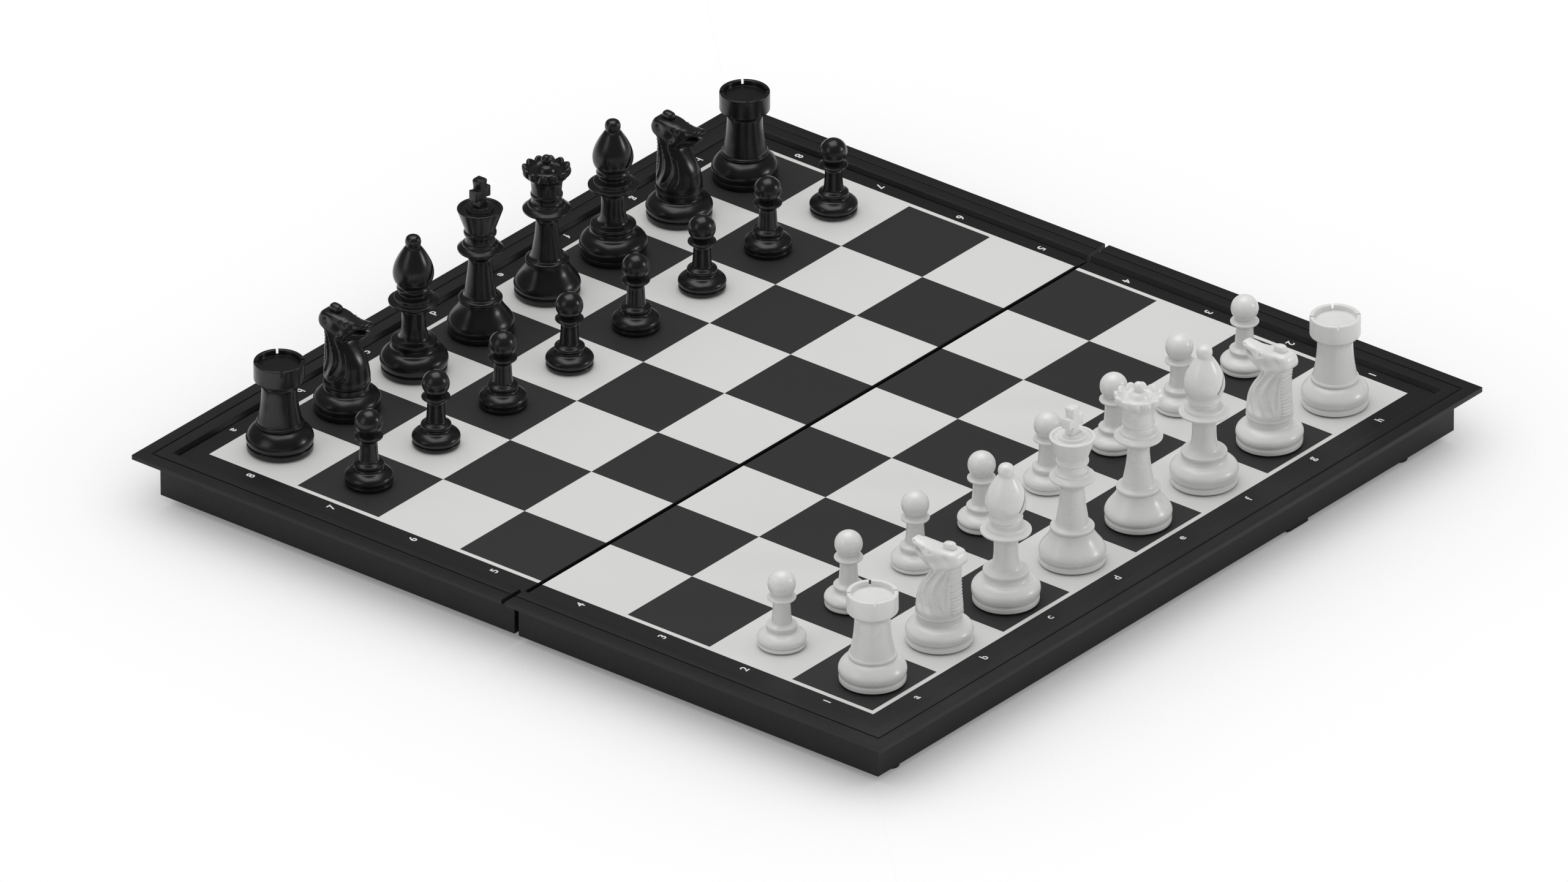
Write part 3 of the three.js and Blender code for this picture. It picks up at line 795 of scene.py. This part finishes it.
def loft(bm, sections, detail):
    rows = smoothRows([(*f, *b, w, n) for f, b, w, n in sections], horse["along"])
    around = horse["around"]
    rings = []
    for fy, fz, by, bz, w, n in rows:
        centre = Vector((0, (fy + by) / 2, (fz + bz) / 2))
        toFront = Vector((0, (fy - by) / 2, (fz - bz) / 2))
        ring = []
        for k in range(around):
            a = 2 * math.pi * k / around
            c, d = math.cos(a), math.sin(a)
            along = math.copysign(abs(c) ** (2 / n), c)
            out = math.copysign(abs(d) ** (2 / n), d)
            p = centre + toFront * along + Vector((w * out, 0, 0))
            ring.append(detail(p, math.degrees(a), toFront.normalized()))
        rings.append([bm.verts.new(p) for p in ring])
    for low, high in zip(rings, rings[1:]):
        for k in range(around):
            n = (k + 1) % around
            bm.faces.new((low[k], low[n], high[n], high[k]))
    for ring in (rings[0], rings[-1]):
        middle = bm.verts.new(sum((v.co for v in ring), Vector()) / around)
        for k in range(around):
            bm.faces.new((ring[k], ring[(k + 1) % around], middle))


def horseDetail(p, angle, forward):
    mane, flutes = horse["mane"], horse["flutes"]
    inner, outer = (mane["half"] + step for step in mane["edge"])
    neck = smoothStep(p.z, *mane["start"]) * (1 - smoothStep(p.z, *mane["end"]))
    if abs(angle - 180) < mane["wide"] and abs(p.x) < outer and p.y < 0:
        strip = 1 - smoothStep(abs(p.x), inner, outer)
        saw = (p.z / mane["ridgePitch"]) % 1.0
        ridge = 0.25 + 0.75 * min(saw * 1.5, (1 - saw) * 4, 1.0)     # slow rise, steep fall
        p = p - forward * (strip * neck * mane["ridgeHeight"] * ridge)
    side = min(abs(angle - 90), abs(angle - 270))
    sweep = (90 + (angle - 90 if angle < 180 else 270 - angle))      # 0 at the front, 180 at the back
    up = p.z - flutes["start"][0]
    body = smoothStep(p.z, *flutes["start"]) * (1 - smoothStep(p.z, *flutes["end"]))
    curl = flutes["curl"] * math.sin(up / flutes["curlRun"] * math.pi)
    phase = (sweep - flutes["first"] + flutes["lean"] * up + curl) / flutes["pitch"]
    band = smoothStep(sweep, *flutes["front"]) * (1 - smoothStep(sweep, *flutes["back"]))
    flute = abs(math.sin(math.pi * phase)) ** flutes["power"]
    share = flutes["edgeShare"] + (1 - flutes["edgeShare"]) * (1 - side / 90)
    sink = flutes["depth"] * body * band * flute * share
    for y, z, radius, rise in horse["relief"]:
        away = math.hypot(p.y - y, p.z - z) / radius
        if away < horse["reliefReach"] and abs(p.x) > horse["reliefFrom"]:
            sink -= rise * math.exp(-away * away * horse["reliefFall"])
    return Vector((p.x - math.copysign(min(sink, abs(p.x) * horse["sinkShare"]), p.x), p.y, p.z))


def pebble(bm, centre, size, lean, n):
    # A small rounded lug, leaning forward. The higher n is, the squarer it is.
    around, high = 20, 10
    tilt = Matrix.Rotation(math.radians(lean), 3, "X")
    rings = []
    for i in range(1, high):
        v = math.pi * i / high - math.pi / 2
        ring = []
        for k in range(around):
            a = 2 * math.pi * k / around
            c, d = math.cos(a), math.sin(a)
            shrink = math.cos(v) ** (2 / n)
            local = Vector((math.copysign(abs(c) ** (2 / n), c) * size[0] * shrink,
                            math.copysign(abs(d) ** (2 / n), d) * size[1] * shrink,
                            math.copysign(abs(math.sin(v)) ** (2 / n), v) * size[2]))
            ring.append(bm.verts.new(Vector(centre) + tilt @ local))
        rings.append(ring)
    for low, up in zip(rings, rings[1:]):
        for k in range(around):
            m = (k + 1) % around
            bm.faces.new((low[k], low[m], up[m], up[k]))
    for ring, sign in ((rings[0], -1), (rings[-1], 1)):
        pole = bm.verts.new(Vector(centre) + tilt @ Vector((0, 0, sign * size[2])))
        for k in range(around):
            bm.faces.new((ring[k], ring[(k + 1) % around], pole))


def knightMesh():
    bm = bmesh.new()
    turn(bm, roundProfile(underside("officer") + plinth + lowBulge + horse["collar"]), horse["segments"])
    loft(bm, horse["sections"], horseDetail)
    loft(bm, horse["jaw"], lambda p, angle, forward: p)
    ear = horse["ear"]
    pebble(bm, ear["centre"], ear["size"], ear["lean"], ear["squareness"])
    addPad(bm, "officer")
    return toMesh(bm, "knight", horse["sharpAngle"])


makers = {
    "pawn": pawnMesh,
    "rook": rookMesh,
    "knight": knightMesh,
    "bishop": bishopMesh,
    "queen": queenMesh,
    "king": kingMesh,
}
shapes = {kind: make() for kind, make in makers.items()}
print("piece shapes made:", ", ".join(shapes))

for node in sorted(nodes):
    side, _, rest = node.partition("_")
    kind = rest.split("_")[0]
    if side not in ("white", "black") or kind not in shapes:
        continue
    low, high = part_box(node)
    spin = math.pi if side == "black" and kind in ("knight", "king") else 0
    centreX, centreY = (low.x + high.x) / 2, (low.y + high.y) / 2
    place = Matrix.Translation((centreX, centreY, board["surface"] * mm)) @ Matrix.Rotation(spin, 4, "Z")
    fileTag = "_" + rest.split("_")[-1] if "_" in rest else ""
    name = f"{side}{kind.title()}{fileTag}"
    piece = addObject(name, scaledCopy(shapes[kind], node), [finish[side], finish["felt"]], place)
    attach(piece, node)
    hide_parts(node)

for node, obj in nodes.items():
    if node.startswith(("magnet_", "hinge_pin")):
        obj.data.materials.clear()
        obj.data.materials.append(finish["magnet" if node.startswith("magnet_") else "steel"])
print("army placed")


# Floor, light and camera.
studio = {
    "floorSize": 60.0,
    "floorDrop": 0.0002,      # keeps the feet from sharing a plane with the floor
    "aim": (-0.01336, -0.00055, 0.0174),
    "across": (0.63096, -0.77581, -0.0025),
    "up": (0.37271, 0.30029, 0.87802),
    "focal": 850.0,
    "sensor": 36.0,
    "viewWidth": 0.5221,      # metres across the picture at the aim point
    "clip": (0.1, 200.0),
    "lamps": {                # place, aim, size, power
        "overheadSoftbox": ((0.15, 0.25, 1.5), (0, 0, 0), (1.3, 1.3), 13.2),
        "leftFill": ((-1.6, 0.5, 0.9), (0, 0, 0.03), (0.9, 1.2), 3.4),
        "rightLamp": ((1.1, -1.5, 0.65), (0, 0, 0.03), (0.35, 0.35), 5.0),
    },
    "worldSeen": 1.0,
    "worldDiffuse": 0.57,
    "worldGlossy": 0.11,
    # The floor's painted shade: reach, darkness and samples of its ambient occlusion.
    "shadeReach": 0.1,
    "shadeDepth": 0.88,
    "shadeSamples": 12,
    "paperTone": (0.9, 0.9, 0.9),
}

floorMesh = bpy.data.meshes.new("floor")
reach = studio["floorSize"] / 2
floorCorners = [(-reach, -reach, 0), (reach, -reach, 0), (reach, reach, 0), (-reach, reach, 0)]
floorMesh.from_pydata(floorCorners, [], [(0, 1, 2, 3)])


def floorGlaze():
    # Bounces light as white paper does; the camera sees only a painted shade beside what stands on it, black
    # mixed in by ambient occlusion.
    material = bpy.data.materials.new("floorGlaze")
    material.use_nodes = True
    tree = material.node_tree
    tree.nodes.clear()
    shade = tree.nodes.new("ShaderNodeAmbientOcclusion")
    shade.samples = studio["shadeSamples"]
    shade.inputs["Distance"].default_value = studio["shadeReach"]
    clear = tree.nodes.new("ShaderNodeBsdfTransparent")
    dark = tree.nodes.new("ShaderNodeBsdfDiffuse")
    dark.inputs["Color"].default_value = (0, 0, 0, 1)
    paper = tree.nodes.new("ShaderNodeBsdfDiffuse")
    paper.inputs["Color"].default_value = (*studio["paperTone"], 1)
    seen = tree.nodes.new("ShaderNodeMixShader")
    both = tree.nodes.new("ShaderNodeMixShader")
    path = tree.nodes.new("ShaderNodeLightPath")
    output = tree.nodes.new("ShaderNodeOutputMaterial")
    # Painted shade: the share that ambient occlusion finds hidden, times the depth, mixes black into the
    # clear floor.
    hidden = mathNode(tree, "SUBTRACT", 1.0, shade.outputs["AO"])
    depth = mathNode(tree, "MULTIPLY", hidden, studio["shadeDepth"])
    tree.links.new(depth, seen.inputs["Fac"])
    tree.links.new(clear.outputs[0], seen.inputs[1])
    tree.links.new(dark.outputs[0], seen.inputs[2])
    # Lamps shine through, so that a half swung below the floor is lit too.
    direct = mathNode(tree, "MAXIMUM", path.outputs["Is Camera Ray"], path.outputs["Is Shadow Ray"])
    tree.links.new(direct, both.inputs["Fac"])
    tree.links.new(paper.outputs[0], both.inputs[1])
    tree.links.new(seen.outputs[0], both.inputs[2])
    tree.links.new(both.outputs[0], output.inputs["Surface"])
    return material


floor = addObject("floor", floorMesh, [floorGlaze()], Matrix.Translation((0, 0, -studio["floorDrop"])))


def addAreaLight(name, place, target, size, power):
    light = bpy.data.lights.new(name, "AREA")
    light.shape = "RECTANGLE"
    light.size, light.size_y = size
    light.energy = power
    obj = bpy.data.objects.new(name, light)
    scene.collection.objects.link(obj)
    obj.location = place
    obj.rotation_mode = "QUATERNION"
    obj.rotation_quaternion = (Vector(target) - Vector(place)).to_track_quat("-Z", "Y")
    return obj


for name, (place, target, size, power) in studio["lamps"].items():
    addAreaLight(name, place, target, size, power)

world = bpy.data.worlds.new("studioWorld")
scene.world = world
world.use_nodes = True
tree = world.node_tree
background = tree.nodes["Background"]
background.inputs["Color"].default_value = (1, 1, 1, 1)
path = tree.nodes.new("ShaderNodeLightPath")
mixSeen = tree.nodes.new("ShaderNodeMix")
mixGloss = tree.nodes.new("ShaderNodeMix")
mixGloss.inputs["A"].default_value = studio["worldDiffuse"]
mixGloss.inputs["B"].default_value = studio["worldGlossy"]
mixSeen.inputs["B"].default_value = studio["worldSeen"]
tree.links.new(path.outputs["Is Glossy Ray"], mixGloss.inputs["Factor"])
tree.links.new(mixGloss.outputs["Result"], mixSeen.inputs["A"])
tree.links.new(path.outputs["Is Camera Ray"], mixSeen.inputs["Factor"])
tree.links.new(mixSeen.outputs["Result"], background.inputs["Strength"])

scene.view_settings.view_transform = "Standard"

camera = bpy.data.objects.new("camera", bpy.data.cameras.new("camera"))
scene.collection.objects.link(camera)
camera.data.lens = studio["focal"]
camera.data.sensor_width = studio["sensor"]
across, up = Vector(studio["across"]).normalized(), Vector(studio["up"]).normalized()
back = across.cross(up).normalized()
distance = studio["viewWidth"] * studio["focal"] / studio["sensor"]
turnMatrix = Matrix((across, up, back)).transposed().to_4x4()
camera.matrix_world = Matrix.Translation(Vector(studio["aim"]) + back * distance) @ turnMatrix
camera.data.clip_start, camera.data.clip_end = studio["clip"]
scene.camera = camera
print("studio ready")
